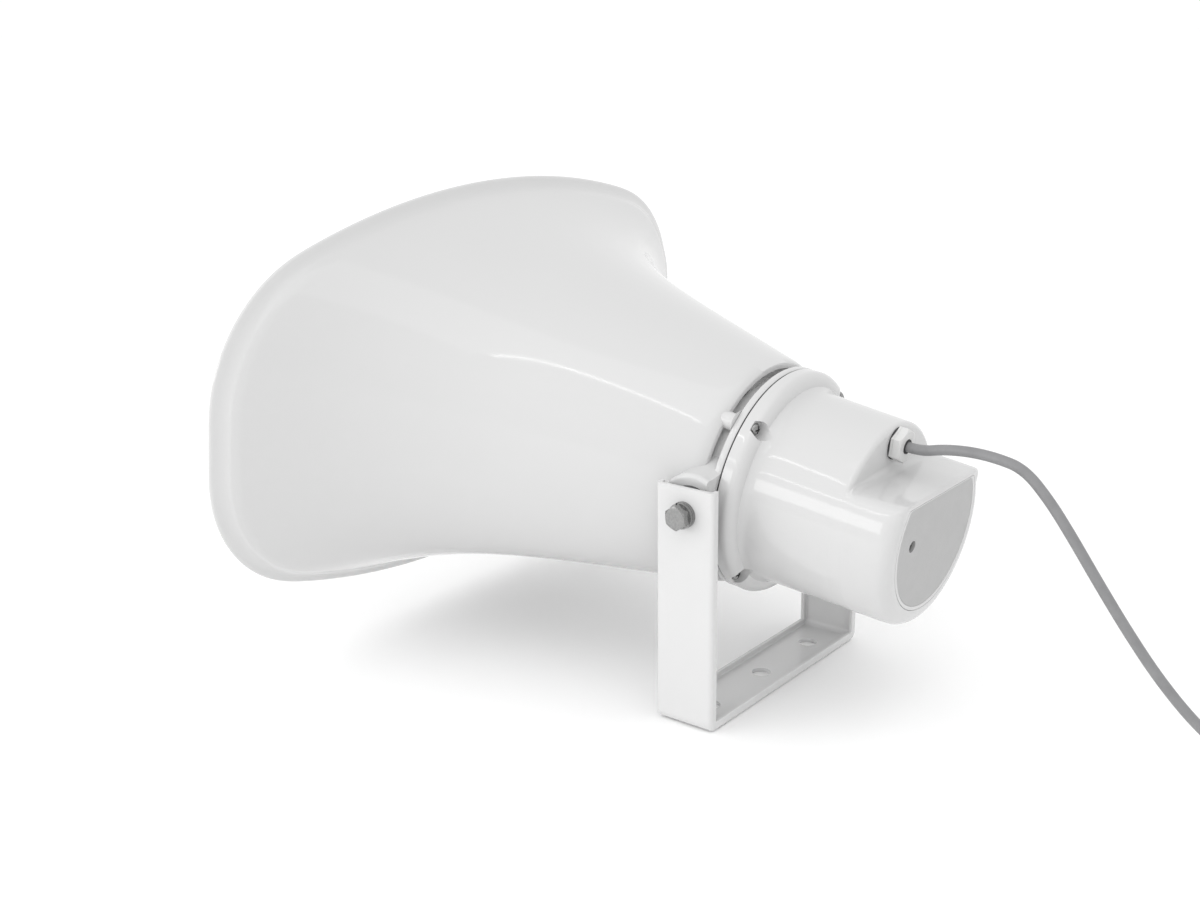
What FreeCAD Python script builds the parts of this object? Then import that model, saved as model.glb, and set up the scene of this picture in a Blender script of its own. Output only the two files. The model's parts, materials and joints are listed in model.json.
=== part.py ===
import FreeCAD, Part
import math
import os

os.makedirs("parts", exist_ok=True)
V = FreeCAD.Vector

# ---------------------------------------------------------------- scale
# Everything is set out on a bracket strip 32 wide. The part is made with a 30 mm strip, so export()
# reduces each shape about the origin, and true() gives a real size in mm as it is in the set-out.
SET_OUT_STRIP, REAL_STRIP = 32.0, 30.0
GAUGE = REAL_STRIP / SET_OUT_STRIP


def true(mm):
    return mm / GAUGE


# ---------------------------------------------------------------- driving dimensions, set-out units, degrees
# The horn unit is drawn with its pivot at the origin, its mouth facing -Y and its rear facing +Y.
# place() tilts it about the pivot axis X and lifts it into the bracket.
TILT = 7.25              # mouth raised above level at rest
PIVOT_Z = 108.6          # pivot axis above the mounting surface
AXIS = 0.6               # horn axis above the pivot axis

# bracket: pressed strip with both long edges turned inwards
STRIP_W, SHEET, LIP = SET_OUT_STRIP, 2.0, 5.0
SPAN, LEG_TOP, BEND_R = 141.0, 121.6, 5.0
HOLE_PITCH, HOLE_D, PIVOT_HOLE_D = 46.5, 9.6, true(6.6)

# mouth outline: straight sides, arched top and bottom, round corners
MOUTH_A, MOUTH_B, CORNER_R, ARCH = 185.2, 108.3, 78.4, 41.1
MOUTH_Y, LIP_T, LIP_W = -198.9, 2.6, 7.5
MOUTH_DROP = 1.1         # mouth centre below the horn axis
FLARE_Y0, FLARE_Y1 = -2.5, -190.0
NECK_A, NECK_B, BELL_T = 56.2, 57.3, 3.0

# joint between bell and rear housing
FLANGE_R, FLANGE_Y0, SEAM_Y, GASKET_T = 56.7, 3.0, 6.7, 0.7
GROOVE_R = 50.0
SCREW_R, SCREW_Y = 53.2, 14.6
WALL_Y, SHOULDER_L, SHOULDER_D = 12.1, 5.4, 8.6

# rear housing
BODY_R0, BODY_R1, BODY_END, REAR_R = 48.3, 46.1, 94.0, 7.5
HOUSING_T = 3.0
STEP_Y, LEDGE_Z = 66.5, 24.5
PANEL_R, PANEL_TOP, PANEL_Z, PANEL_T = 36.3, 21.4, 2.0, 2.0
TAP_X, TAP_Z, TAP_HOLE_R = 23.3, 2.2, 2.9

# pivot fasteners, M6, and the M3 screws of the flange
BOSS_R, BOSS_FACE = 20.0, 64.5
BOLT_R, HEAD_AF, HEAD_T, HEAD_TURN = true(3.0), true(10.0), true(4.0), 42.0
WASHER_R, SPRING_R, WASHER_T = true(6.0), true(5.9), true(1.6)
SCREW_HEAD_R, SCREW_SHANK_R = true(2.8), true(1.5)

# cable and gland
GLAND_Z, GLAND_AF, CABLE_R = 38.5, 15.0, 2.5
COIL_MID_R, COIL_TURNS = 27.5, 2


# ---------------------------------------------------------------- helpers
def place(shape):
    shape = shape.copy()
    shape.rotate(V(0, 0, 0), V(1, 0, 0), -TILT)
    shape.translate(V(0, 0, PIVOT_Z))
    return shape


def placed_point(x, y, z):
    c, s = math.cos(math.radians(TILT)), math.sin(math.radians(TILT))
    return V(x, y * c + z * s, -y * s + z * c + PIVOT_Z)


def export(name, shape):
    solids = shape.Solids
    print(name, "solids", len(solids), "valid", shape.isValid(), "cm3", round(shape.Volume / 1000.0, 3))
    shape = shape.copy()
    shape.scale(GAUGE)
    shape.exportStep("parts/%s.step" % name)


def cyl(r, p, length, axis):
    return Part.makeCylinder(r, length, V(*p), V(*axis))


def along_y(r, y0, y1, x=0.0, z=AXIS):
    return cyl(r, (x, y0, z), y1 - y0, (0, 1, 0))


def tube_y(r_in, r_out, y0, y1, x=0.0, z=AXIS):
    return along_y(r_out, y0, y1, x, z).cut(along_y(r_in, y0 - 1, y1 + 1, x, z))


def block(x0, x1, y0, y1, z0, z1):
    return Part.makeBox(x1 - x0, y1 - y0, z1 - z0, V(x0, y0, z0))


def turned(profile, x=0.0, z=AXIS):
    """Solid of revolution about the horn axis from (radius, y) points."""
    pts = [V(x + r, y, z) for r, y in profile]
    face = Part.Face(Part.makePolygon(pts + [pts[0]]))
    return face.revolve(V(x, 0, z), V(0, 1, 0), 360)


def arc_points(cr, cy, radius_r, radius_y, a0, a1, n=10):
    """(radius, y) points on an elliptical arc; angle 0 points outwards, 90 points to +Y."""
    out = []
    for i in range(n + 1):
        a = math.radians(a0 + (a1 - a0) * i / n)
        out.append((cr + radius_r * math.cos(a), cy + radius_y * math.sin(a)))
    return out


def hex_y(af, y0, y1, x, z, turn=0.0):
    r = af / math.sqrt(3)
    pts = [V(x + r * math.cos(math.radians(60 * i + turn)), y0, z + r * math.sin(math.radians(60 * i + turn)))
           for i in range(7)]
    return Part.Face(Part.makePolygon(pts)).extrude(V(0, y1 - y0, 0))


def hex_x(af, x0, x1, turn=0.0):
    r = af / math.sqrt(3)
    pts = [V(x0, r * math.cos(math.radians(60 * i + turn)), r * math.sin(math.radians(60 * i + turn)))
           for i in range(7)]
    return Part.Face(Part.makePolygon(pts)).extrude(V(x1 - x0, 0, 0))


def ring_of(count, radius, first):
    for i in range(count):
        a = math.radians(first + 360.0 * i / count)
        yield radius * math.cos(a), AXIS + radius * math.sin(a)


def both_sides(shape):
    return shape.fuse(shape.mirror(V(0, 0, 0), V(1, 0, 0)))


# ---------------------------------------------------------------- bell
def mouth_factor(phi):
    """Mouth outline's distance from its centre over that of the ellipse through the same half sizes."""
    a, b, rc = MOUTH_A, MOUTH_B, CORNER_R
    rt = (a * a + ARCH * ARCH) / (2 * ARCH)
    cx, cy = a - rc, b - rt
    cz = cy + math.sqrt((rt - rc) ** 2 - cx ** 2)
    dx, dz = abs(a * math.cos(phi)), abs(b * math.sin(phi))

    def reach(px, pz, r):
        q = dx * dx + dz * dz
        h = dx * px + dz * pz
        return (h + math.sqrt(h * h + q * (r * r - px * px - pz * pz))) / q

    if dx > 1e-6 and a / dx * dz <= cz:
        return a / dx
    t = reach(0, cy, rt)
    if t * dx <= cx * rt / (rt - rc):
        return t
    return reach(cx, cz, rc)


def section(y, half_a, half_b, squareness, drop, n=48):
    pts = []
    for i in range(n):
        phi = 2 * math.pi * i / n
        k = 1 - squareness + squareness * mouth_factor(phi)
        pts.append(V(half_a * k * math.cos(phi), y, AXIS - drop + half_b * k * math.sin(phi)))
    curve = Part.BSplineCurve()
    curve.interpolate(pts, PeriodicFlag=True)
    return Part.Wire([curve.toShape()])


def flare(u):
    """Half width and half height of the bell's outside at u, 0 at the neck and 1 at the lip, and slopes."""
    run = FLARE_Y0 - FLARE_Y1
    grow_a, grow_b = MOUTH_A - LIP_W - NECK_A, MOUTH_B - LIP_W - NECK_B
    a = NECK_A + grow_a * (0.445 * u + 0.555 * u ** 5.3)
    b = NECK_B + grow_b * (0.787 * u + 0.213 * u ** 5.4)
    slope_a = grow_a * (0.445 + 0.555 * 5.3 * u ** 4.3) / run
    slope_b = grow_b * (0.787 + 0.213 * 5.4 * u ** 4.4) / run
    return a, b, slope_a, slope_b


def flare_section(u, inset, y=None):
    a, b, slope_a, slope_b = flare(u)
    a -= inset * math.hypot(1, slope_a)
    b -= inset * math.hypot(1, slope_b)
    where = FLARE_Y0 + (FLARE_Y1 - FLARE_Y0) * u if y is None else y
    return section(where, a, b, u ** 0.35, MOUTH_DROP * u)


def loft(wires, ruled=False):
    return Part.makeLoft(wires, True, ruled)


def mouth_section(y, inset):
    return section(y, MOUTH_A - inset, MOUTH_B - inset, 1.0, MOUTH_DROP)


STATIONS = [0, 0.05, 0.12, 0.22, 0.34, 0.46, 0.58, 0.69, 0.79, 0.87, 0.94, 1]
bell_outer = loft([flare_section(u, 0) for u in STATIONS])
lip_back = MOUTH_Y + LIP_T
lip = loft([mouth_section(FLARE_Y1, LIP_W), mouth_section(lip_back + 3.2, LIP_W - 2.2),
            mouth_section(lip_back + 1.0, 2.6), mouth_section(lip_back, 0.9)], True)
lip = lip.fuse(loft([mouth_section(lip_back, 0.9), mouth_section(lip_back - 0.7, 0),
                     mouth_section(MOUTH_Y + 0.7, 0), mouth_section(MOUTH_Y, 0.7)], True))
inner_stations = [0.02] + STATIONS[1:]
bell_inner = loft([flare_section(u, BELL_T) for u in inner_stations])
a1, b1, sa1, sb1 = flare(1)
mouth_inner = loft([flare_section(1, BELL_T), section(MOUTH_Y - 0.01, MOUTH_A - LIP_W - 1.2, MOUTH_B - LIP_W - 1.2,
                                                      1.0, MOUTH_DROP)], True)
bell = bell_outer.fuse(lip)

# pivot bosses, flange plate, floor of the groove behind the bell, screw bosses across the groove
boss = cyl(BOSS_R, (44, 0, 0), BOSS_FACE - 44, (1, 0, 0))
boss = boss.common(block(44, 70, -BOSS_R - 1, SEAM_Y, -30, 30))
bell = bell.fuse(both_sides(boss))
bell = bell.cut(bell_inner).cut(mouth_inner)
rear = along_y(GROOVE_R, FLARE_Y0 - 3.4, SEAM_Y).fuse(tube_y(GROOVE_R - 1, FLANGE_R, FLANGE_Y0, SEAM_Y))
rear = rear.cut(tube_y(31, 44, -2.0, SEAM_Y + 1))
for x, z in ring_of(4, SCREW_R, 45):
    rear = rear.fuse(along_y(4.4, FLARE_Y0 - 1, SEAM_Y, x, z).common(along_y(FLANGE_R + 0.6, -10, SEAM_Y)))
seat = both_sides(cyl(10.5, (44, 0, 0), BOSS_FACE - 44, (1, 0, 0)).common(block(44, 70, -11, SEAM_Y, -11, 11)))
bell = bell.fuse(rear).fuse(seat)
bell = bell.cut(along_y(16.6, -20, SEAM_Y + 1)).cut(along_y(30.0, 4.6, SEAM_Y + 1))
bell = bell.cut(both_sides(cyl(6.5, (47, 0, 0), 30, (1, 0, 0))))
for x, z in ring_of(4, SCREW_R, 45):
    bell = bell.cut(along_y(SCREW_SHANK_R + 0.05, -3.2, SEAM_Y + 1, x, z))
bell = bell.removeSplitter()
export("horn_bell", place(bell))

# ---------------------------------------------------------------- folded sound path
tube = turned([(12.5, SEAM_Y), (29.8, SEAM_Y), (29.8, 4.6), (16.4, 4.6), (16.4, -8), (23.0, -124),
               (20.0, -124), (12.5, -8)])
export("throat_tube", place(tube))

cup_nose = arc_points(0, -140, 42.0, -16.0, 0, 90, 12)
cup_inside = arc_points(0, -140, 39.2, -13.2, 90, 0, 12)
cup = turned([(35.0, -25), (37.6, -25), (39.0, -60)] + cup_nose + cup_inside + [(36.2, -60)])
cup = cup.fuse(along_y(6.5, -154, -130))
cup = cup.cut(along_y(2.2, -170, -120)).cut(along_y(4.6, -170, -150.5))
export("reflector", place(cup))

spider = tube_y(22.66, 26.0, -124, -110).cut(turned([(0, -125), (23.1, -125), (22.3, -109), (0, -109)]))
spider = spider.fuse(along_y(6.5, -130, -124)).fuse(tube_y(20.5, 26.0, -127, -124))
for i in range(3):
    arm = block(0, 24, -130 + 3, -124, -2, 2)
    fin = block(25, 37.6, -124, -112, -1.25, 1.25)
    for piece in (arm, fin):
        piece.translate(V(0, 0, AXIS))
        piece.rotate(V(0, 0, AXIS), V(0, 1, 0), 120 * i + 30)
        spider = spider.fuse(piece)
spider = spider.common(along_y(37.6, -140, -100)).cut(along_y(1.95, -140, -100))
export("reflector_spider", place(spider.removeSplitter()))

screw = along_y(1.95, -150.5, -124.6).fuse(turned(arc_points(0, -150.5, 4.3, -2.6, 0, 90, 6) + [(0, -150.5)]))
slot = block(-2.6, 2.6, -154, -151.6, -0.4, 0.4)
cross = block(-0.4, 0.4, -154, -151.6, -2.6, 2.6)
for piece in (slot, cross):
    piece.translate(V(0, 0, AXIS))
    screw = screw.cut(piece)
export("reflector_screw", place(screw))

# ---------------------------------------------------------------- seam
gasket = tube_y(46.5, 56.0, SEAM_Y, SEAM_Y + GASKET_T)
for x, z in ring_of(4, SCREW_R, 45):
    gasket = gasket.cut(along_y(1.8, 0, 20, x, z))
export("flange_gasket", place(gasket))

# ---------------------------------------------------------------- rear housing
front = SEAM_Y + GASKET_T
shoulder = arc_points(FLANGE_R - SHOULDER_D, WALL_Y, SHOULDER_D, SHOULDER_L, 0, 90, 10)
rear_round = arc_points(BODY_R1 - REAR_R, BODY_END - REAR_R, REAR_R, REAR_R, 0, 90, 10)
housing = turned([(0, front), (FLANGE_R, front)] + shoulder + [(BODY_R0 - 0.3, WALL_Y + SHOULDER_L + 0.6)]
                 + rear_round + [(0, BODY_END)])
cut_away = block(-80, 80, STEP_Y, 120, LEDGE_Z, 90)
housing = housing.cut(cut_away)
inner_r0, inner_r1, rear_in = BODY_R0 - HOUSING_T, BODY_R1 - HOUSING_T, BODY_END - 5.0
hollow = turned([(0, front + 5), (inner_r0 - 0.4, front + 5), (inner_r1, rear_in - 5),
                 (inner_r1 - 4, rear_in), (0, rear_in)])
hollow = hollow.cut(block(-80, 80, STEP_Y - HOUSING_T, 120, LEDGE_Z - HOUSING_T, 90))
housing = housing.cut(hollow).cut(along_y(46.5, front - 1, front + 5))


def d_plate(radius, top, y0, y1):
    disc = along_y(radius, y0, y1, 0.0, PANEL_Z)
    return disc.common(block(-80, 80, y0 - 1, y1 + 1, -80, top))


# close recess for the rear panel, a fine groove round it, and the hole behind it
housing = housing.cut(d_plate(PANEL_R + 0.2, PANEL_TOP + 0.2, BODY_END - PANEL_T, BODY_END + 1))
housing = housing.cut(d_plate(PANEL_R + 2.2, PANEL_TOP + 1.2, BODY_END - 0.5, BODY_END + 1).cut(
    d_plate(PANEL_R + 1.7, PANEL_TOP + 0.8, BODY_END - 1, BODY_END + 2)))
housing = housing.cut(along_y(TAP_HOLE_R, rear_in - 2, BODY_END + 1, TAP_X, TAP_Z))
# flange screws: clearance holes and spot-faced pockets breaking out of the shoulder
for x, z in ring_of(4, SCREW_R, 45):
    housing = housing.cut(along_y(1.85, 0, 40, x, z)).cut(along_y(4.4, SCREW_Y - 2.4, 40, x, z))
# gland hole
housing = housing.cut(along_y(6.05, STEP_Y - 10, STEP_Y + 10, 0, GLAND_Z))
export("rear_housing", place(housing.removeSplitter()))

panel = d_plate(PANEL_R, PANEL_TOP, BODY_END - PANEL_T, BODY_END - 0.2)
panel = panel.cut(along_y(TAP_HOLE_R, 80, 100, TAP_X, TAP_Z))
export("rear_panel", place(panel))

heads = []
for x, z in ring_of(4, SCREW_R, 45):
    y = SCREW_Y - 2.4
    dome = arc_points(0, y + 0.6, SCREW_HEAD_R, 1.6, 0, 90, 6)
    s = along_y(SCREW_SHANK_R, -2.6, y + 0.2, x, z).fuse(turned(dome + [(0, y), (SCREW_HEAD_R, y)], x, z))
    for w, h in ((1.9, 0.4), (0.4, 1.9)):
        s = s.cut(block(x - w, x + w, y + 1.1, y + 4, z - h, z + h))
    heads.append(s)
export("flange_screws", place(Part.makeCompound(heads)))

# ---------------------------------------------------------------- compression driver
D0 = front                                  # front face of the driver
adapter = tube_y(12.5, 46.3, D0, D0 + 5).cut(turned([(12.5, D0 - 1), (12.5, D0 + 1), (19.5, D0 + 6), (0, D0 + 6),
                                                     (0, D0 - 1)]))
adapter = adapter.fuse(tube_y(27.2, 33.0, D0 + 5, D0 + 10.6))
plug = turned([(0, D0 - 2), (2.5, D0 + 0.5), (15.5, D0 + 5.0), (0, D0 + 5.0)])
for i in range(3):
    web = block(6, 22, D0 + 2.6, D0 + 5, -0.75, 0.75)
    web.translate(V(0, 0, AXIS))
    web.rotate(V(0, 0, AXIS), V(0, 1, 0), 120 * i)
    adapter = adapter.fuse(web)
adapter = adapter.fuse(plug)
DRIVER_SCREW_R = 39.0
for x, z in ring_of(4, DRIVER_SCREW_R, 0):
    adapter = adapter.fuse(along_y(4.2, D0 + 4, D0 + 13.6, x, z)).cut(along_y(1.95, D0 + 1.5, D0 + 14, x, z))
export("driver_adapter", place(adapter.removeSplitter()))

dome = arc_points(0, D0 + 11.0, 19.0, -4.2, 0, 90, 10)
dome_in = arc_points(0, D0 + 11.6, 18.6, -4.2, 90, 0, 10)
diaphragm = turned([(24.0, D0 + 11.0)] + dome + dome_in + [(18.8, D0 + 19.4), (19.4, D0 + 19.4),
                                                           (19.4, D0 + 11.7), (24.0, D0 + 11.7)])
export("diaphragm", place(diaphragm))

surround = turned([(24.5, D0 + 10.9), (25.4, D0 + 10.0), (26.4, D0 + 10.6), (32.8, D0 + 10.6), (32.8, D0 + 11.4),
                   (26.2, D0 + 11.4), (25.3, D0 + 10.8), (24.5, D0 + 11.7)])
export("diaphragm_surround", place(surround))
export("clamp_ring", place(tube_y(27.2, 33.0, D0 + 11.4, D0 + 13.6)))

top_plate = tube_y(20.1, 43.0, D0 + 13.6, D0 + 19.6)
for x, z in ring_of(4, DRIVER_SCREW_R, 0):
    top_plate = top_plate.cut(along_y(2.1, D0, D0 + 30, x, z))
export("top_plate", place(top_plate))
export("ferrite_magnet", place(tube_y(22.5, 34.0, D0 + 19.6, D0 + 33.6)))
pole = turned([(0, D0 + 13.6), (17.6, D0 + 13.6), (18.2, D0 + 14.2), (18.2, D0 + 33.6), (33.0, D0 + 33.6),
               (33.0, D0 + 38.6), (0, D0 + 38.6)])
for sx in (-1, 1):
    pole = pole.cut(along_y(1.6, D0 + 32, D0 + 39, sx * 24.0, AXIS))
export("pole_piece", place(pole))

bolts = []
for x, z in ring_of(4, DRIVER_SCREW_R, 0):
    y = D0 + 19.6
    s = along_y(1.95, D0 + 3, y, x, z).fuse(along_y(3.5, y, y + 3.0, x, z))
    bolts.append(s.cut(hex_y(3.0, y + 1.2, y + 4, x, z)))
export("driver_screws", place(Part.makeCompound(bolts)))

# ---------------------------------------------------------------- line transformer, terminals, leads
T0 = D0 + 38.6
frame = block(-28, 28, T0, T0 + 1.5, -30, 22)
for sx in (-1, 1):
    frame = frame.cut(along_y(1.7, T0 - 1, T0 + 3, sx * 24.0, AXIS))
ear = block(-23.5, 23.5, T0 + 1.5, T0 + 17.5, -30.0, -28.6)
export("transformer_frame", place(frame.fuse(ear).removeSplitter()))

core = block(-20.5, 20.5, T0 + 1.5, T0 + 17.5, -28.6, 5.4)
for x0, x1 in ((-13.7, -6.9), (6.9, 13.7)):
    core = core.cut(block(x0, x1, T0, T0 + 20, -21.8, -1.4))
export("transformer_core", place(core))
winding = block(-13.4, 13.4, T0 + 1.8, T0 + 23.5, -21.5, -1.7).cut(block(-6.95, 6.95, T0, T0 + 17.6, -30, 10))
winding = winding.fuse(block(-13.4, 13.4, T0 + 17.7, T0 + 23.5, -21.5, -1.7)).removeSplitter()
export("transformer_winding", place(winding))

screws = []
for sx in (-1, 1):
    screws.append(along_y(1.55, T0 - 5, T0 + 1.5, sx * 24.0, AXIS).fuse(
        along_y(2.8, T0 + 1.5, T0 + 3.4, sx * 24.0, AXIS)))
export("transformer_screws", place(Part.makeCompound(screws)))

strip = block(-16, 16, T0 + 1.5, T0 + 9.5, 11, 19)
for i in range(4):
    x = -12 + 8 * i
    strip = strip.cut(cyl(2.0, (x, T0 + 6, 15), 10, (0, 0, 1))).cut(block(x - 2.4, x + 2.4, T0 + 7.5, T0 + 10, 12.5, 17))
export("terminal_strip", place(strip))

# ---------------------------------------------------------------- tap selector behind the panel's hole
switch = along_y(9.0, rear_in - 11, rear_in, TAP_X - 2, TAP_Z)
switch = switch.cut(along_y(6.6, rear_in - 9.5, rear_in - 5, TAP_X, TAP_Z))
switch = switch.cut(along_y(2.46, rear_in - 10, rear_in + 1, TAP_X, TAP_Z))
export("tap_switch", place(switch))
rotor = along_y(2.4, rear_in - 9.2, rear_in + 3.4, TAP_X, TAP_Z).fuse(
    along_y(6.2, rear_in - 8.6, rear_in - 5.9, TAP_X, TAP_Z))
rotor = rotor.cut(block(TAP_X - 3, TAP_X + 3, rear_in + 2.0, rear_in + 5, TAP_Z - 0.5, TAP_Z + 0.5))
export("tap_rotor", place(rotor))

# ---------------------------------------------------------------- cable gland
RING_T = 0.8
body = along_y(6.0, STEP_Y - 9, STEP_Y + RING_T, 0, GLAND_Z).fuse(
    hex_y(GLAND_AF, STEP_Y + RING_T, STEP_Y + 2.0, 0, GLAND_Z, 30))
body = body.fuse(along_y(5.6, STEP_Y + 1.5, STEP_Y + 3.6, 0, GLAND_Z))
body = body.cut(along_y(CABLE_R + 0.1, 0, 100, 0, GLAND_Z))
export("gland_body", place(body))
export("gland_ring", place(tube_y(6.05, 7.9, STEP_Y, STEP_Y + RING_T, 0, GLAND_Z)))
nut = hex_y(GLAND_AF, STEP_Y + 2.1, STEP_Y + 6.0, 0, GLAND_Z, 30)
cone = turned([(0, STEP_Y + 2.1), (8.8, STEP_Y + 2.1), (8.8, STEP_Y + 5.2), (7.2, STEP_Y + 6.0), (0, STEP_Y + 6.0)],
              0, GLAND_Z)
nut = nut.common(cone).cut(along_y(5.6, STEP_Y, STEP_Y + 5.0, 0, GLAND_Z)).cut(
    along_y(3.6, 0, 100, 0, GLAND_Z))
export("gland_nut", place(nut))
export("gland_seal", place(tube_y(CABLE_R, 5.5, STEP_Y + 3.6, STEP_Y + 5.0, 0, GLAND_Z).fuse(
    tube_y(CABLE_R, 3.5, STEP_Y + 5.0, STEP_Y + 6.4, 0, GLAND_Z))))

# ---------------------------------------------------------------- pivot fasteners, on both legs
leg_in, leg_out = SPAN / 2 - SHEET, SPAN / 2


def pair(shape):
    other = shape.copy()
    other.rotate(V(0, 0, 0), V(0, 0, 1), 180)
    return Part.makeCompound([shape, other])


insert = cyl(6.5, (47, 0, 0), 16.5, (1, 0, 0)).cut(cyl(BOLT_R, (46, 0, 0), 30, (1, 0, 0)))
export("pivot_inserts", place(pair(insert)))
bore = cyl(BOLT_R + 0.2, (40, 0, 0), 60, (1, 0, 0))
spacer = cyl(12.5, (BOSS_FACE, 0, 0), leg_in - BOSS_FACE, (1, 0, 0)).cut(bore)
export("pivot_spacers", place(pair(spacer)))
washer = cyl(WASHER_R, (leg_out, 0, 0), WASHER_T, (1, 0, 0)).cut(bore)
export("flat_washers", place(pair(washer)))
spring = cyl(SPRING_R, (leg_out + WASHER_T, 0, 0), WASHER_T, (1, 0, 0)).cut(bore)
split = block(leg_out, leg_out + 5, -0.5, 0.5, 0, 9)
split.rotate(V(0, 0, 0), V(1, 0, 0), 25)
export("spring_washers", place(pair(spring.cut(split))))
head_x = leg_out + 2 * WASHER_T
bolt = cyl(BOLT_R, (48.5, 0, 0), head_x - 48.5, (1, 0, 0))
cone_r = HEAD_AF / 2 - 0.3
cone = Part.makeCone(cone_r + 5.0 * math.sqrt(3), cone_r, 5.0, V(head_x + HEAD_T - 5.0, 0, 0), V(1, 0, 0))
head = hex_x(HEAD_AF, head_x, head_x + HEAD_T, HEAD_TURN).common(
    cone.fuse(cyl(12, (head_x - 0.5, 0, 0), HEAD_T - 2.0, (1, 0, 0))))
export("pivot_bolts", place(pair(bolt.fuse(head).removeSplitter())))


# ---------------------------------------------------------------- bracket, drawn in place
def u_block(offset, half_width, top):
    """Upright block with round bottom edges, offset inwards from the bracket's outside."""
    half, r = SPAN / 2 - offset, max(BEND_R - offset, 0.0)
    y = half_width
    if r < 0.01:
        return block(-half, half, -y, y, offset, top)
    solid = block(-half, half, -y, y, offset + r, top).fuse(block(-half + r, half - r, -y, y, offset, offset + r))
    for sx in (-1, 1):
        solid = solid.fuse(cyl(r, (sx * (half - r), -y, offset + r), 2 * y, (0, 1, 0)))
    return solid.removeSplitter()


bracket = u_block(0, STRIP_W / 2, LEG_TOP).cut(u_block(LIP, STRIP_W, LEG_TOP + 10))
round_edges = [e for e in bracket.Edges if abs(abs(e.CenterOfMass.y) - STRIP_W / 2) < 0.01
               and (abs(e.CenterOfMass.x) > SPAN / 2 - 1.6 or e.CenterOfMass.z < 1.6)
               and e.CenterOfMass.z < LEG_TOP - 1]
bracket = bracket.makeFillet(1.6, round_edges)
bracket = bracket.cut(u_block(SHEET, STRIP_W / 2 - SHEET, LEG_TOP + 10))
for i in (-1, 0, 1):
    bracket = bracket.cut(cyl(HOLE_D / 2, (i * HOLE_PITCH, 0, -5), 20, (0, 0, 1)))
bracket = bracket.cut(cyl(PIVOT_HOLE_D / 2, (-100, 0, PIVOT_Z), 200, (1, 0, 0)))
export("u_bracket", bracket)


# ---------------------------------------------------------------- cable: straight runs joined by arcs
def bent_tube(points, radius):
    edges, here = [], points[0]
    for i in range(1, len(points) - 1):
        a, b, c = points[i - 1], points[i], points[i + 1]
        d1, d2 = (b - a), (c - b)
        l1, l2 = d1.Length, d2.Length
        d1.normalize()
        d2.normalize()
        half = d1.getAngle(d2) / 2
        back = 0.45 * min(l1, l2)
        if half < 1e-4:
            continue
        print("bend radius", round(back / math.tan(half), 1))
        p, q = b - d1 * back, b + d2 * back
        mid_dir = d2 - d1
        mid_dir.normalize()
        rad = back / math.tan(half)
        centre = b + mid_dir * (rad / math.cos(half))
        edges.append(Part.makeLine(here, p))
        edges.append(Part.Arc(p, centre - mid_dir * rad, q).toShape())
        here = q
    edges.append(Part.makeLine(here, points[-1]))
    path = Part.Wire(edges)
    start = points[1] - points[0]
    ring = Part.Wire([Part.makeCircle(radius, points[0], start)])
    return path.makePipeShell([ring], True, False), path.Length


exit_point = placed_point(0, STEP_Y + 6.4, GLAND_Z)
axis_dir = placed_point(0, 1, 0) - placed_point(0, 0, 0)
stub = Part.makeCylinder(CABLE_R, 24.4, exit_point - axis_dir * 24.4, axis_dir)
export("cable_inlet", stub)

COIL_X, COIL_Y = -66.0, 322.0
outer_turn = COIL_MID_R + CABLE_R
route = [exit_point, exit_point + axis_dir * 9] + [V(*p) for p in (
    (0, 98, 138.4), (0, 110, 141.2), (0, 122, 141.8), (-0.5, 134, 137.4), (-1, 146, 125.5), (-2, 157.5, 110),
    (-4, 170, 91), (-7.5, 184, 69.5), (-12, 199, 48), (-17, 216, 28.5), (-23, 236, 12.5), (-29, 258, 4.5),
    (-34.5, 281, 2.5), (-36.4, 302, 2.5), (COIL_X + outer_turn, COIL_Y - 9, 2.5),
    (COIL_X + outer_turn, COIL_Y, 2.5))]
for p, q in zip(route, route[1:]):
    print("run", round((q - p).Length, 1))
cable, cable_length = bent_tube(route, CABLE_R)
coil = Part.makeCylinder(COIL_MID_R + 2 * CABLE_R, 2 * CABLE_R, V(COIL_X, COIL_Y, 0)).cut(
    Part.makeCylinder(COIL_MID_R - 2 * CABLE_R, 2 * CABLE_R, V(COIL_X, COIL_Y, 0)))
cable = cable.cut(coil)
export("cable", cable)
export("cable_coil", coil)

# free end: leaves the inside turn and ends in two bared cores
inner_turn = COIL_MID_R - CABLE_R
tail_start = V(COIL_X - 12, COIL_Y - math.sqrt(inner_turn ** 2 - 12 ** 2), 2.5)
tail = bent_tube([tail_start, V(COIL_X, COIL_Y - 14, 2.5), V(COIL_X + 4, COIL_Y - 2, 2.5)], CABLE_R)[0].cut(coil)
export("cable_tail", tail)
tip = V(COIL_X + 4, COIL_Y - 2, 2.5)
cores, copper = [], []
along = V(4, 12, 0).normalize()
for side in (-1, 1):
    across = V(along.y, -along.x, 0) * (1.2 * side)
    cores.append(Part.makeCylinder(1.1, 7, tip + across, along))
    copper.append(Part.makeCylinder(0.6, 5, tip + across + along * 7, along))
export("cable_cores", Part.makeCompound(cores))
export("core_ends", Part.makeCompound(copper))
print("cable length to the coil", round(cable_length, 1))
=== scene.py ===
import bpy, bmesh, json, math
from mathutils import Matrix, Vector


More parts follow.
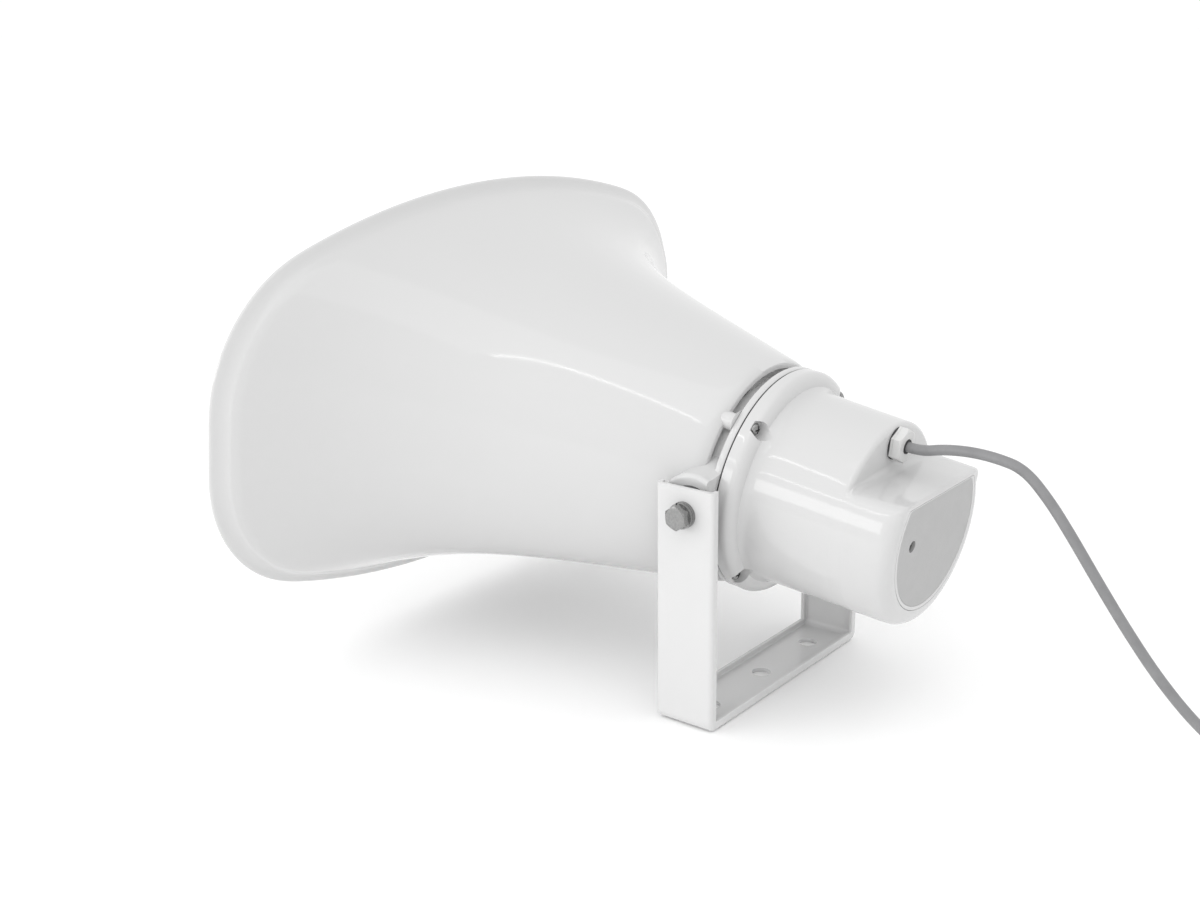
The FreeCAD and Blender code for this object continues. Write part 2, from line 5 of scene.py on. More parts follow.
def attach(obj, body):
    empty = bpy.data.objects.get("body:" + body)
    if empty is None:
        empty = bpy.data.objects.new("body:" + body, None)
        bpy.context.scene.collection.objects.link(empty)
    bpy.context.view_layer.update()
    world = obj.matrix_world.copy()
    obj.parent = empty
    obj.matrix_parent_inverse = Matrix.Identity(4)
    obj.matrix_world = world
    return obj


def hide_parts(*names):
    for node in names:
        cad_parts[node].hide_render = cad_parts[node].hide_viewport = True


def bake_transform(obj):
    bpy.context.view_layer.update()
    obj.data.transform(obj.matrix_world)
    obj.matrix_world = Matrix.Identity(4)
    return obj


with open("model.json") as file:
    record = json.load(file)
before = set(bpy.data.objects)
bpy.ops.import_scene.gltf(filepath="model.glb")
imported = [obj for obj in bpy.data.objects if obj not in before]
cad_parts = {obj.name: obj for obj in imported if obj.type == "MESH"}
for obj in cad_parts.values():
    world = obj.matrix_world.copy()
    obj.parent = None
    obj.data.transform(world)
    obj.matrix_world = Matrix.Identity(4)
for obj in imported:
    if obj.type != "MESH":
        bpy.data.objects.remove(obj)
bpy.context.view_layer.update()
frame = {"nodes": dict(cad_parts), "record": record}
nodes = frame["nodes"]
scene = bpy.context.scene

# ---------------------------------------------------------------- dimensions of the horn unit
# Lengths are set out on a bracket strip 32 wide. The part is made with a 30 mm strip, as in the CAD.
GAUGE = 30.0 / 32.0
UNIT = GAUGE / 1000                      # metres for one set-out unit
# The horn unit's own frame: pivot at the origin, mouth towards -Y, rear towards +Y.
TILT = math.radians(7.25)
PIVOT_Z, AXIS = 108.6, 0.6               # pivot above the base, and horn axis above the pivot
MOUTH_A, MOUTH_B = 185.2, 108.3          # half width and half height of the mouth
CORNER_R, ARCH, MOUTH_DROP = 78.4, 41.1, 1.1
MOUTH_Y, LIP_W, FLARE_Y0, FLARE_Y1 = -198.9, 7.5, -2.5, -190.0
NECK_A, NECK_B, BELL_T = 56.2, 57.3, 3.0
STRAIGHT_A, POWER_A = 0.445, 5.3         # share of the widening that is straight, and how the rest curves
STRAIGHT_B, POWER_B = 0.787, 5.4
FLANGE_REAR = 6.6
SCREW_R = 53.2
SCREW_ANGLES = [math.radians(45 + 90 * i) for i in range(4)]
SCREW_SPOTS = [(SCREW_R * math.cos(a), AXIS + SCREW_R * math.sin(a)) for a in SCREW_ANGLES]


def horn_point(x, y, z):
    c, s = math.cos(TILT), math.sin(TILT)
    return Vector((x, y * c + z * s, -y * s + z * c + PIVOT_Z)) * UNIT


def world_point(x, y, z):
    return Vector((x, y, z)) * UNIT


# ---------------------------------------------------------------- mesh helpers
def smoothstep(x):
    t = min(max(x, 0.0), 1.0)
    return t * t * (3 - 2 * t)


def link(obj):
    scene.collection.objects.link(obj)
    return obj


def new_object(name, verts, faces):
    mesh = bpy.data.meshes.new(name)
    mesh.from_pydata([tuple(v) for v in verts], [], faces)
    bm = bmesh.new()
    bm.from_mesh(mesh)
    bmesh.ops.remove_doubles(bm, verts=bm.verts, dist=1e-7)
    bmesh.ops.recalc_face_normals(bm, faces=bm.faces)
    bm.to_mesh(mesh)
    bm.free()
    return link(bpy.data.objects.new(name, mesh))


def smooth(obj, angle):
    obj.data.shade_smooth()
    obj.data.set_sharp_from_angle(angle=math.radians(angle))
    return obj


def weighted(obj):
    obj.modifiers.new("Normals", "WEIGHTED_NORMAL").keep_sharp = True


def apply_modifiers(obj):
    dg = bpy.context.evaluated_depsgraph_get()
    mesh = bpy.data.meshes.new_from_object(obj.evaluated_get(dg))
    obj.modifiers.clear()
    obj.data = mesh


def skin(name, rings, point=horn_point, loop=False, caps=(False, False)):
    """Quads between rings of equal length, each ring closed on itself."""
    n = len(rings[0])
    verts = [point(*p) for ring in rings for p in ring]
    faces = []
    count = len(rings) if loop else len(rings) - 1
    for i in range(count):
        a, b = i * n, (i + 1) % len(rings) * n
        faces += [(a + j, a + (j + 1) % n, b + (j + 1) % n, b + j) for j in range(n)]
    if caps[0]:
        faces.append(tuple(range(n)))
    if caps[1]:
        faces.append(tuple(range((len(rings) - 1) * n, len(rings) * n)))
    return new_object(name, verts, faces)


def lathe(name, profile, centre=(0.0, AXIS), n=128, axis="y", loop=True, point=horn_point):
    """Surface of revolution from (radius, position) points about an axis along Y or X."""
    rings = []
    for r, t in profile:
        ring = []
        for j in range(n):
            a = 2 * math.pi * j / n
            u, v = centre[0] + r * math.cos(a), centre[1] + r * math.sin(a)
            ring.append((u, t, v) if axis == "y" else (t, u, v))
        rings.append(ring)
    return skin(name, rings, point, loop)


def arc(cx, cy, rx, ry, a0, a1, n):
    steps = [math.radians(a0 + (a1 - a0) * i / n) for i in range(n + 1)]
    return [(cx + rx * math.cos(a), cy + ry * math.sin(a)) for a in steps]


def join(objs, name):
    bm = bmesh.new()
    for o in objs:
        bm.from_mesh(o.data)
        bpy.data.objects.remove(o)
    mesh = bpy.data.meshes.new(name)
    bm.to_mesh(mesh)
    bm.free()
    return link(bpy.data.objects.new(name, mesh))


def carve(obj, cutter):
    m = obj.modifiers.new("Cut", "BOOLEAN")
    m.operation, m.solver, m.object = "DIFFERENCE", "EXACT", cutter
    apply_modifiers(obj)
    bpy.data.objects.remove(cutter)


def rounded(obj, width):
    """Bevel the edges sharper than 40 degrees and keep the result."""
    m = obj.modifiers.new("Round", "BEVEL")
    m.width, m.segments = width * UNIT, 5
    m.limit_method, m.angle_limit = "ANGLE", math.radians(40)
    apply_modifiers(obj)


def finish_piece(obj, body, material, slot, *replaced):
    obj.data.materials.clear()
    obj.data.materials.append(material)
    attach(obj, body)
    if replaced:
        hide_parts(*replaced)
    return obj


# ---------------------------------------------------------------- materials
DIELECTRIC_IOR = 1.46
NOISE_LOW, NOISE_HIGH = 0.3, 0.7         # where nearly all of a noise texture's values lie
COLOR_A, COLOR_B, COLOR_RESULT = 6, 7, 2     # sockets of the Mix node once it mixes colours


def material(name, color, roughness, metallic=0.0, vary=0.03, grain=60.0, bump=0.02,
             rough_vary=0.05, bump_scale=400.0, stretch=(1, 1, 1)):
    """Clouded colour, uneven roughness and a fine bump, each from its own noise."""
    m = bpy.data.materials.new(name)
    m.use_nodes = True
    nt = m.node_tree
    bsdf = nt.nodes["Principled BSDF"]
    coords = nt.nodes.new("ShaderNodeTexCoord")
    mapping = nt.nodes.new("ShaderNodeMapping")
    mapping.inputs["Scale"].default_value = stretch
    nt.links.new(coords.outputs["Object"], mapping.inputs["Vector"])

    def noise(scale, detail):
        t = nt.nodes.new("ShaderNodeTexNoise")
        t.inputs["Scale"].default_value = scale
        t.inputs["Detail"].default_value = detail
        nt.links.new(mapping.outputs["Vector"], t.inputs["Vector"])
        return t.outputs["Fac"]

    def ramp(source, low, high):
        r = nt.nodes.new("ShaderNodeMapRange")
        r.inputs["From Min"].default_value = NOISE_LOW
        r.inputs["From Max"].default_value = NOISE_HIGH
        r.inputs["To Min"].default_value = low
        r.inputs["To Max"].default_value = high
        nt.links.new(source, r.inputs["Value"])
        return r.outputs["Result"]

    clouds = noise(grain, 3.0)
    mix = nt.nodes.new("ShaderNodeMix")
    mix.data_type = "RGBA"
    mix.inputs[COLOR_A].default_value = (*[c * (1 - vary) for c in color], 1)
    mix.inputs[COLOR_B].default_value = (*[min(1.0, c * (1 + vary)) for c in color], 1)
    nt.links.new(ramp(clouds, 0, 1), mix.inputs["Factor"])
    nt.links.new(mix.outputs[COLOR_RESULT], bsdf.inputs["Base Color"])
    wear = noise(grain * 3.1, 4.0)
    rough = ramp(wear, roughness * (1 - rough_vary), roughness * (1 + rough_vary))
    nt.links.new(rough, bsdf.inputs["Roughness"])
    fine = noise(bump_scale, 2.0)
    b = nt.nodes.new("ShaderNodeBump")
    b.inputs["Strength"].default_value = bump
    b.inputs["Distance"].default_value = 0.001
    nt.links.new(fine, b.inputs["Height"])
    nt.links.new(b.outputs["Normal"], bsdf.inputs["Normal"])
    bsdf.inputs["Metallic"].default_value = metallic
    bsdf.inputs["IOR"].default_value = DIELECTRIC_IOR
    return m


WHITE = material("white_moulded_plastic", (0.60, 0.60, 0.60), 0.085, vary=0.006, grain=14.0,
                 bump=0.012, bump_scale=140.0, rough_vary=0.15)
PAINT = material("white_powder_coat", (0.65, 0.65, 0.65), 0.24, vary=0.005, grain=60.0,
                 bump=0.03, bump_scale=900.0, rough_vary=0.12)
NYLON = material("white_nylon", (0.64, 0.64, 0.635), 0.38, vary=0.012, grain=80.0,
                 bump=0.08, bump_scale=900.0)
GREY = material("grey_panel", (0.41, 0.41, 0.41), 0.42, vary=0.02, grain=120.0,
                bump=0.10, bump_scale=1500.0)
ZINC = material("zinc_plate", (0.30, 0.30, 0.298), 0.24, 1.0, vary=0.12, grain=900.0,
                bump=0.06, bump_scale=3500.0, rough_vary=0.2)
STEEL = material("machined_steel", (0.52, 0.52, 0.53), 0.35, 1.0, vary=0.08, grain=300.0, bump=0.1)
LAMINATED = material("laminations", (0.25, 0.25, 0.26), 0.5, 0.9, vary=0.25, grain=300.0,
                     bump=0.4, stretch=(1, 8, 1))
FERRITE = material("ferrite_black", (0.03, 0.03, 0.032), 0.7, vary=0.25, grain=500.0, bump=0.5)
BRASS = material("turned_brass", (0.70, 0.52, 0.24), 0.3, 1.0, vary=0.08, grain=400.0)
RUBBER = material("black_rubber", (0.035, 0.035, 0.037), 0.65, vary=0.2, grain=300.0, bump=0.3)
DARK = material("dark_moulding", (0.06, 0.06, 0.062), 0.45, vary=0.1, grain=200.0, bump=0.2)
AMBER = material("resin_dome", (0.30, 0.16, 0.06), 0.4, vary=0.15, grain=700.0, bump=0.4)
COPPER = material("enamelled_copper", (0.62, 0.28, 0.12), 0.3, 1.0, vary=0.15, grain=500.0,
                  stretch=(1, 12, 1))
CREAM = material("terminal_moulding", (0.62, 0.60, 0.52), 0.45, vary=0.04, grain=200.0)
JACKET = material("grey_cable_jacket", (0.235, 0.235, 0.24), 0.40, vary=0.07, grain=160.0,
                  bump=0.12, bump_scale=1200.0, rough_vary=0.15)
CORE = material("core_insulation", (0.06, 0.07, 0.11), 0.35, vary=0.05, grain=200.0)

SLOT_MATERIAL = {
    "horn_plastic": WHITE, "bracket_paint": PAINT, "gland_nylon": NYLON, "panel_grey": GREY,
    "zinc_steel": ZINC, "plain_steel": STEEL, "laminated_steel": LAMINATED, "ferrite": FERRITE,
    "insert_brass": BRASS, "gasket_rubber": RUBBER, "seal_rubber": RUBBER, "inner_plastic": DARK,
    "diaphragm_film": AMBER, "winding_copper": COPPER, "terminal_plastic": CREAM,
    "cable_jacket": JACKET, "core_insulation": CORE, "core_copper": COPPER}
for part in frame["record"]["subparts"]:
    mesh = nodes[part["node"]].data
    mesh.materials.clear()
    mesh.materials.append(SLOT_MATERIAL[part["material_slot"]])


# ---------------------------------------------------------------- bell
BELL_SIDES, BELL_STEPS, LIP_STEPS = 224, 72, 12
LIP_FLAT = 2.6                           # where the lip's inner face starts, in from the mouth's edge
LIP_CURVE = ((-191.3, 6.95), (-192.6, 6.1), (-193.8, 5.0), (-194.8, 3.7), (-195.6, 2.4),
             (-196.15, 1.3), (-196.6, 0.55), (-197.1, 0.12), (-197.6, 0.0), (-198.1, 0.12),
             (-198.55, 0.5), (-198.8, 0.95), (-198.9, 1.5))


def mouth_factor(phi):
    """Distance to the mouth's outline over that to the ellipse through the same half sizes."""
    a, b, rc = MOUTH_A, MOUTH_B, CORNER_R
    rt = (a * a + ARCH * ARCH) / (2 * ARCH)
    cx, cy = a - rc, b - rt
    cz = cy + math.sqrt((rt - rc) ** 2 - cx ** 2)
    dx, dz = abs(a * math.cos(phi)), abs(b * math.sin(phi))

    def reach(px, pz, r):
        q = dx * dx + dz * dz
        h = dx * px + dz * pz
        return (h + math.sqrt(h * h + q * (r * r - px * px - pz * pz))) / q

    if dx > 1e-6 and a / dx * dz <= cz:
        return a / dx
    t = reach(0, cy, rt)
    return t if t * dx <= cx * rt / (rt - rc) else reach(cx, cz, rc)


def softened(values, passes):
    n = len(values)
    for _ in range(passes):
        values = [(values[i - 1] + 2 * values[i] + values[(i + 1) % n]) / 4 for i in range(n)]
    return values


BELL_ANGLES = [2 * math.pi * (i + 0.5) / BELL_SIDES for i in range(BELL_SIDES)]
LIP_FACTORS = softened([mouth_factor(phi) for phi in BELL_ANGLES], 3)
FLARE_FACTORS = softened(LIP_FACTORS, 90)


def bell_ring(y, half_a, half_b, squareness, drop):
    """Towards the lip the corners get as tight as the mouth's own, and behind it they are softer."""
    ring = []
    crisp = squareness ** 6
    for phi, flare_factor, lip_factor in zip(BELL_ANGLES, FLARE_FACTORS, LIP_FACTORS):
        factor = flare_factor * (1 - crisp) + lip_factor * crisp
        k = 1 - squareness + squareness * factor
        ring.append((half_a * k * math.cos(phi), y, AXIS - drop + half_b * k * math.sin(phi)))
    return ring


def flare(u, inset):
    """Half width and half height of the bell at u, from 0 at the neck to 1 at the lip."""
    sizes = []
    for neck, mouth, straight, power in ((NECK_A, MOUTH_A, STRAIGHT_A, POWER_A),
                                         (NECK_B, MOUTH_B, STRAIGHT_B, POWER_B)):
        grow = mouth - LIP_W - neck
        slope = grow * (straight + (1 - straight) * power * u ** (power - 1)) / (FLARE_Y0 - FLARE_Y1)
        size = neck + grow * (straight * u + (1 - straight) * u ** power)
        sizes.append(size - inset * math.hypot(1, slope))
    return sizes


def flare_ring(u, inset):
    half_a, half_b = flare(u, inset)
    y = FLARE_Y0 + (FLARE_Y1 - FLARE_Y0) * u
    return bell_ring(y, half_a, half_b, u ** 0.35, MOUTH_DROP * u)


bell_stations = [(i / BELL_STEPS) ** 0.85 for i in range(BELL_STEPS + 1)]
rings = [bell_ring(FLARE_Y0 - ahead, NECK_A - inset, NECK_B - inset, 0, 0)
         for ahead, inset in ((0, 3), (0, 1), (0.3, 0.3))]
rings += [flare_ring(u, 0) for u in bell_stations[1:]]
rings += [bell_ring(y, MOUTH_A - inset, MOUTH_B - inset, 1.0, MOUTH_DROP) for y, inset in LIP_CURVE]
end_a, end_b = flare(1, BELL_T)
for i in range(LIP_STEPS + 1):
    t = i / LIP_STEPS
    s = t ** 0.8
    rings.append(bell_ring(MOUTH_Y + (FLARE_Y1 - MOUTH_Y) * t ** 1.7,
                           (MOUTH_A - LIP_FLAT) * (1 - s) + end_a * s,
                           (MOUTH_B - LIP_FLAT) * (1 - s) + end_b * s, 1.0, MOUTH_DROP))
rings += [flare_ring(u, BELL_T) for u in reversed(bell_stations[2:-1])]
shell = smooth(skin("bell_shell", rings, loop=True), 50)
finish_piece(shell, "horn", WHITE, "horn_plastic", "horn_bell")

# groove and flange behind the bell, turned, with the four screw bosses across the groove
flange = [(16.6, -5.9), (46.0, -5.9)] + arc(48.2, -4.1, 1.8, 1.8, -90, 0, 6)
flange += arc(51.6, 1.4, 1.6, 1.6, 180, 90, 6) + [(55.5, 3.0)] + arc(55.7, 4.0, 1.0, 1.0, -90, 0, 5)
flange += [(56.7, 6.2), (56.3, 6.7), (46.0, 6.7), (30.0, 6.6), (30.0, 4.6), (16.6, 4.6)]
finish_piece(smooth(lathe("bell_flange", flange, n=192), 40), "horn", WHITE, "horn_plastic")
stub = [(0.01, -4.5), (4.3, -4.5), (4.3, 0.8)] + arc(6.1, 1.2, 1.8, 1.8, 180, 90, 5) + [(0.01, 3.2)]
stubs = [lathe("stub", stub, spot, 40, loop=False) for spot in SCREW_SPOTS]
finish_piece(smooth(join(stubs, "screw_bosses"), 40), "horn", WHITE, "horn_plastic")

# round bosses at the sides for the pivot bolts, cut flat behind the flange
profile = [(0.01, 44), (22.5, 44), (21.0, 48), (19.6, 52), (18.6, 56), (18.1, 60), (18.0, 62.2)]
profile += arc(15.8, 62.3, 2.2, 2.2, 0, 90, 6) + [(6.6, 64.5), (6.5, 47.2), (0.01, 47.2)]
bosses = [lathe("boss", [(r, side * x) for r, x in profile], (0, 0), 96, "x", loop=False)
          for side in (-1, 1)]
boss = join(bosses, "pivot_bosses")
behind = [[(x, y, z) for x, z in ((-90, -40), (90, -40), (90, 40), (-90, 40))]
          for y in (FLANGE_REAR, 40)]
carve(boss, skin("rear_cut", behind, caps=(True, True)))
rounded(boss, 2.0)
weighted(finish_piece(smooth(boss, 40), "horn", WHITE, "horn_plastic"))


# ---------------------------------------------------------------- rear housing
BODY_SIDES = 300
BODY_END, STEP_Y, LEDGE_Z = 94.0, 66.5, 24.5
STEP_R, HOLLOW_R = 2.6, 4.5              # the step's rounded edge and its hollow corner
EDGE_WIDE, EDGE_TIGHT = 7.5, 2.0
PANEL_Z, RECESS_Y = 2.0, 91.95
GROOVE, GROOVE_TOP = 38.3, 22.4
TAP_HOLE = (23.3, 2.2)


def soft_min(a, b, k):
    h = min(max(0.5 + 0.5 * (b - a) / k, 0.0), 1.0)
    return b * (1 - h) + a * h - k * h * (1 - h)


def d_outline(phi, radius, centre_z, top, k):
    """Distance from the horn axis to a circle with a flat top, whose corners are rounded by k."""
    dz = centre_z - AXIS
    s = math.sin(phi)
    reach = dz * s + math.sqrt(radius ** 2 - (dz * math.cos(phi)) ** 2)
    if s > 0.05:
        reach = soft_min(reach, (top - AXIS) / s, k)
    return reach


def body_r(y):
    """The barrel tapers a little towards the rear."""
    return 48.3 - 0.029 * (y - 18)


def ring_from(function):
    ring = []
    for j in range(BODY_SIDES):
        phi = 2 * math.pi * (j + 0.5) / BODY_SIDES
        r, y = function(phi)
        ring.append((r * math.cos(phi), y, AXIS + r * math.sin(phi)))
    return ring


def ledge_r(phi, y):
    return d_outline(phi, body_r(y), AXIS, LEDGE_Z, 5.0)


def step_point(phi, w):
    """From the barrel over the rounded step and its hollow corner on to the ledge, w from 0 to 1."""
    depth = body_r(STEP_Y) - ledge_r(phi, STEP_Y)
    g = min(1.0, max(0.0, depth) / (STEP_R + HOLLOW_R))
    a1, a2 = STEP_R * g, HOLLOW_R * g
    if w < 0.35:
        t = math.radians(90 * w / 0.35)
        d, y = a1 * (1 - math.cos(t)), a1 * (math.sin(t) - 1)
    elif w < 0.6:
        d, y = a1 + (depth - a1 - a2) * (w - 0.35) / 0.25, 0.0
    else:
        t = math.radians(90 * (w - 0.6) / 0.4)
        d, y = depth - a2 + a2 * math.sin(t), a2 * (1 - math.cos(t))
    flat = -STEP_R + (STEP_R + HOLLOW_R) * w
    return body_r(STEP_Y) - d, STEP_Y + flat * (1 - g) + y * g


def rear_edge(phi, w):
    """The rear edge is well rounded on the barrel and tight along the ledge."""
    e = EDGE_WIDE + (EDGE_TIGHT - EDGE_WIDE) * smoothstep((math.sin(phi) - 0.36) / 0.22)
    t = math.radians(90 * w)
    return ledge_r(phi, BODY_END) - e * (1 - math.cos(t)), BODY_END - e * (1 - math.sin(t))


def outline_ring(radius, top, y):
    return ring_from(lambda phi: (d_outline(phi, radius, PANEL_Z, top, 0.8), y))


front = [(47.0, 12.0), (47.0, 7.4), (56.2, 7.4)] + arc(56.1, 8.0, 0.6, 0.6, -90, 0, 4) + [(56.7, 11.4)]
front += arc(48.6, 12.1, 8.1, 5.2, 0, 78, 10)
front += [(49.6, 18.2), (48.95, 19.4), (48.5, 20.9), (48.26, 22.6)]
step_steps = (0, .07, .14, .21, .28, .35, .43, .52, .6, .68, .76, .84, .92, 1)
rings = [ring_from(lambda phi, p=p: p) for p in front]
rings += [ring_from(lambda phi, y=y: (body_r(y), y)) for y in (25, 30, 38, 46, 54, 60)]
rings += [ring_from(lambda phi, w=w: step_point(phi, w)) for w in step_steps]
rings += [ring_from(lambda phi, y=y: (ledge_r(phi, y), y)) for y in (73, 77, 81, 84.5)]
rings += [ring_from(lambda phi, w=i / 8: rear_edge(phi, w)) for i in range(9)]
rings += [outline_ring(GROOVE + d, GROOVE_TOP + d, y)
          for d, y in ((0.25, BODY_END), (0, BODY_END - 0.55), (-0.25, BODY_END))]
rings += [outline_ring(r, top, y)
          for r, top, y in ((36.6, 21.7, BODY_END), (36.4, 21.5, BODY_END - 0.2),
                            (36.4, 21.5, RECESS_Y), (6.0, 7.0, RECESS_Y))]
housing = skin("rear_shell", rings, caps=(False, True))
pocket = [(0.01, 12.2), (4.1, 12.2), (4.4, 12.5), (4.5, 40), (0.01, 40)]
cutters = [lathe("pocket", pocket, spot, 48, loop=False) for spot in SCREW_SPOTS]
tap_bore = [(0.01, 86), (2.9, 86), (2.9, 97), (0.01, 97)]
cutters.append(lathe("tap_hole", tap_bore, TAP_HOLE, 40, loop=False))
carve(housing, join(cutters, "pockets"))
weighted(finish_piece(smooth(housing, 30), "horn", WHITE, "horn_plastic", "rear_housing"))

# reflector in the mouth, turned
cup = [(35.0, -25), (36.2, -24.6), (37.6, -25.4), (38.2, -45), (39.0, -60), (40.6, -100)]
cup += arc(0, -140, 42.0, -16.0, 0, 89.5, 24)
cup += [(4.6, -155.9), (4.6, -150.5), (0.01, -150.5), (0.01, -146), (30, -146), (39.0, -138),
        (36.2, -60)]
finish_piece(smooth(lathe("reflector_cup", cup, n=144), 40), "horn", WHITE, "horn_plastic", "reflector")


# ---------------------------------------------------------------- bracket
SPAN, LEG_TOP, STRIP_W, SHEET, LIP, BEND = 141.0, 121.6, 32.0, 2.0, 5.0, 5.05
HALF = STRIP_W / 2
CHAMFER, INNER_R = 0.3, 0.8
BEND_STEPS = 12
BASE_HOLE_R, BASE_HOLE_PITCH, PIVOT_HOLE_R = 4.8, 46.5, 3.52


def bend_stations(x, start):
    """A quarter turn of the strip about (x, BEND), each with its inward direction."""
    angles = [math.radians(start + 90 * i / BEND_STEPS) for i in range(BEND_STEPS + 1)]
    return [(x + BEND * math.cos(a), BEND + BEND * math.sin(a), -math.cos(a), -math.sin(a))
            for a in angles]


# the strip's section, as (across, inward) points, with its edges turned in
section = [(HALF - CHAMFER, LIP), (HALF, LIP - CHAMFER), (HALF, 2.4)]
section += arc(HALF - SHEET, SHEET, SHEET, SHEET, 0, -90, 6)
section += [(HALF - 3.2, 0.0), (3.2 - HALF, 0.0)]
section += arc(SHEET - HALF, SHEET, SHEET, SHEET, -90, -180, 6)
section += [(-HALF, 2.4), (-HALF, LIP - CHAMFER), (CHAMFER - HALF, LIP),
            (SHEET - HALF - CHAMFER, LIP), (SHEET - HALF, LIP - CHAMFER)]
section += arc(SHEET + INNER_R - HALF, SHEET + INNER_R, INNER_R, INNER_R, 180, 270, 4)
section += arc(HALF - SHEET - INNER_R, SHEET + INNER_R, INNER_R, INNER_R, -90, 0, 4)
section += [(HALF - SHEET, LIP - CHAMFER), (HALF - SHEET + CHAMFER, LIP)]

# down one leg, along the base and up the other
leg_heights = (LEG_TOP, LEG_TOP - 0.8, 60, BEND + 1)
strip_stations = [(-SPAN / 2, z, 1, 0) for z in leg_heights]
strip_stations += bend_stations(BEND - SPAN / 2, 180)
strip_stations += [(x, 0, 0, 1) for x in (BEND + 1 - SPAN / 2, 0, SPAN / 2 - BEND - 1)]
strip_stations += bend_stations(SPAN / 2 - BEND, 270)
strip_stations += [(SPAN / 2, z, -1, 0) for z in reversed(leg_heights)]
rings = [[(x + nx * n, y, z + nz * n) for y, n in section] for x, z, nx, nz in strip_stations]
strap = skin("bracket_strap", rings, world_point, caps=(True, True))
base_hole = [(0.01, -6), (BASE_HOLE_R, -6), (BASE_HOLE_R, 12), (0.01, 12)]
cutters = [lathe("hole", base_hole, (x, 0), 64, loop=False,
                 point=lambda u, t, v: world_point(u, v, t))
           for x in (-BASE_HOLE_PITCH, 0, BASE_HOLE_PITCH)]
pivot_hole = [(0.01, -90), (PIVOT_HOLE_R, -90), (PIVOT_HOLE_R, 90), (0.01, 90)]
cutters.append(lathe("pivot_hole", pivot_hole, (0, PIVOT_Z), 48, "x", loop=False, point=world_point))
carve(strap, join(cutters, "holes"))
weighted(finish_piece(smooth(strap, 35), "bracket", PAINT, "bracket_paint", "u_bracket"))

# ---------------------------------------------------------------- cable
CABLE_R = 2.5
COIL_X, COIL_Y, COIL_R, COIL_SHRINK = -66.0, 322.0, 30, 5
PER_TURN, COIL_POINTS = 16, 27
exit_point = horn_point(0, 72.9, 38.5) / UNIT
out = Vector((0, math.cos(TILT), -math.sin(TILT)))
route = [exit_point, exit_point + out * 7] + [Vector(p) for p in (
    (0, 95, 139.6), (0, 108, 140.9), (0, 121, 140.3), (-0.5, 134, 137.4), (-1, 146, 125.5),
    (-2, 157.5, 110), (-4, 170, 91), (-7.5, 184, 69.5), (-12, 199, 48), (-17, 216, 28.5),
    (-23, 236, 12.5), (-29, 258, 4.5), (-34.5, 281, CABLE_R), (-36.4, 302, CABLE_R),
    (COIL_X + COIL_R, COIL_Y - 9, CABLE_R))]
# the curve runs inside its control points, so those of the coil lie this much further out
grow = 2 / (1 + math.cos(math.pi / PER_TURN))
for i in range(COIL_POINTS):
    a = 2 * math.pi * i / PER_TURN
    r = COIL_R - COIL_SHRINK * smoothstep((math.degrees(a) - 290) / 75)
    r *= grow if i > 0 else 1
    route.append(Vector((COIL_X + r * math.cos(a), COIL_Y + r * math.sin(a), CABLE_R)))
route += [Vector((COIL_X + dx, COIL_Y + dy, CABLE_R)) for dx, dy in ((-3, -19), (2, -10), (4, -2))]


def nurbs_line(points):
    curve = bpy.data.curves.new("route", "CURVE")
    curve.dimensions = "3D"
    curve.resolution_u = 10
    spline = curve.splines.new("NURBS")
    spline.points.add(len(points) - 1)
    for p, q in zip(spline.points, points):
        p.co = (*(q * UNIT), 1)
    spline.order_u = 3
    spline.use_endpoint_u = True
    obj = link(bpy.data.objects.new("route", curve))
    bpy.context.view_layer.update()
    dg = bpy.context.evaluated_depsgraph_get()
    mesh = bpy.data.meshes.new_from_object(obj.evaluated_get(dg))
    line = [v.co.copy() for v in mesh.vertices]
    bpy.data.objects.remove(obj)
    return line


def tube(name, line, radius, n=20):
    side = Vector((1, 0, 0))
    rings = []
    for i, p in enumerate(line):
        t = (line[min(i + 1, len(line) - 1)] - line[max(i - 1, 0)]).normalized()
        side = (side - t * side.dot(t)).normalized()
        up = t.cross(side)
        turns = [2 * math.pi * j / n for j in range(n)]
        rings.append([p + (side * math.cos(a) + up * math.sin(a)) * radius for a in turns])
    return smooth(skin(name, rings, lambda *p: Vector(p), caps=(True, True)), 50)


line = nurbs_line(route)
lead = tube("speaker_cable", line, CABLE_R * UNIT)
lead.data.materials.append(JACKET)
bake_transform(lead)
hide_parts("cable", "cable_coil", "cable_tail")

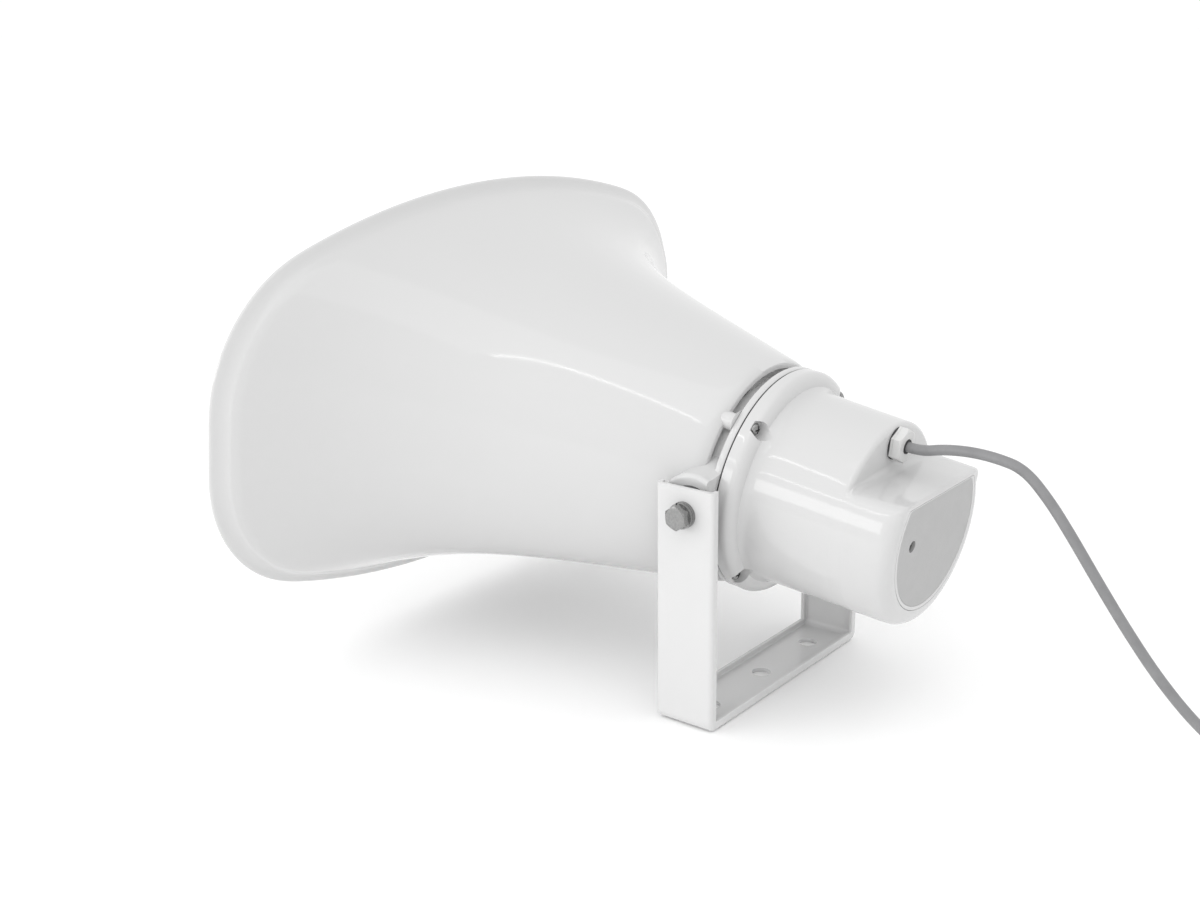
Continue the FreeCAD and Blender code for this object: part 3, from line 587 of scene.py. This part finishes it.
# ---------------------------------------------------------------- camera, light, floor
CAMERA_RIGHT = Vector((-0.61200687, 0.79076677, -0.01164098))
CAMERA_UP = Vector((-0.24297822, -0.17400247, 0.95429803))
CAMERA_TURN = Matrix((CAMERA_RIGHT, CAMERA_UP, CAMERA_RIGHT.cross(CAMERA_UP))).transposed()
camera = link(bpy.data.objects.new("camera", bpy.data.cameras.new("camera")))
camera.matrix_world = (Matrix.Translation(world_point(650.49, 403.38, 361.22))
                       @ CAMERA_TURN.to_4x4())
camera.data.lens, camera.data.sensor_width = 48.41, 36.0
camera.data.clip_start = 0.01
scene.camera = camera


def softbox(name, direction, distance, width, height, radiance, along=None):
    """Area light facing the horn. Its width lies level, or as near to along as it can."""
    distance, width, height = distance * GAUGE, width * GAUGE, height * GAUGE
    light = bpy.data.lights.new(name, "AREA")
    light.shape, light.size, light.size_y = "RECTANGLE", width, height
    light.energy = radiance * math.pi * width * height
    obj = link(bpy.data.objects.new(name, light))
    d = Vector(direction).normalized()
    obj.location = world_point(0, 0, 110) + d * distance
    obj.rotation_euler = d.to_track_quat("Z", "Y").to_euler()
    if along:
        side = Vector(along) - d * d.dot(Vector(along))
        side.normalize()
        obj.rotation_euler = Matrix((side, d.cross(side), d)).transposed().to_euler()


softbox("window_low", (0.84, -0.49, 0.23), 1.5, 1.5, 0.33, 3.0)
softbox("window_slot", (0.73, -0.49, 0.47), 1.5, 1.3, 0.03, 6.0)
softbox("window_high", (0.42, -0.49, 0.76), 1.5, 1.3, 0.04, 6.0)
softbox("bell_line", (0.62, 0.07, 0.78), 1.5, 0.44, 0.03, 7.0, along=(0.08, 0.10, -0.08))
softbox("overhead", (0.25, 0.35, 1.0), 1.8, 1.8, 1.4, 0.55)

world = bpy.data.worlds.new("studio")
scene.world = world
world.use_nodes = True
background = world.node_tree.nodes["Background"]
background.inputs["Color"].default_value = (1, 1, 1, 1)
background.inputs["Strength"].default_value = 1.03
scene.view_settings.view_transform = "Standard"

FLOOR_HALF, FLOOR_Z = 6, -0.0002         # metres; just under the base, so that their faces don't coincide
FLOOR_CORNERS = [(x * FLOOR_HALF, y * FLOOR_HALF, FLOOR_Z)
                 for x, y in ((-1, -1), (1, -1), (1, 1), (-1, 1))]
floor = new_object("floor", FLOOR_CORNERS, [(0, 1, 2, 3)])
floor.data.materials.append(
    material("studio_floor", (0.985, 0.985, 0.985), 0.8, vary=0.001, grain=3.0, bump=0.0))
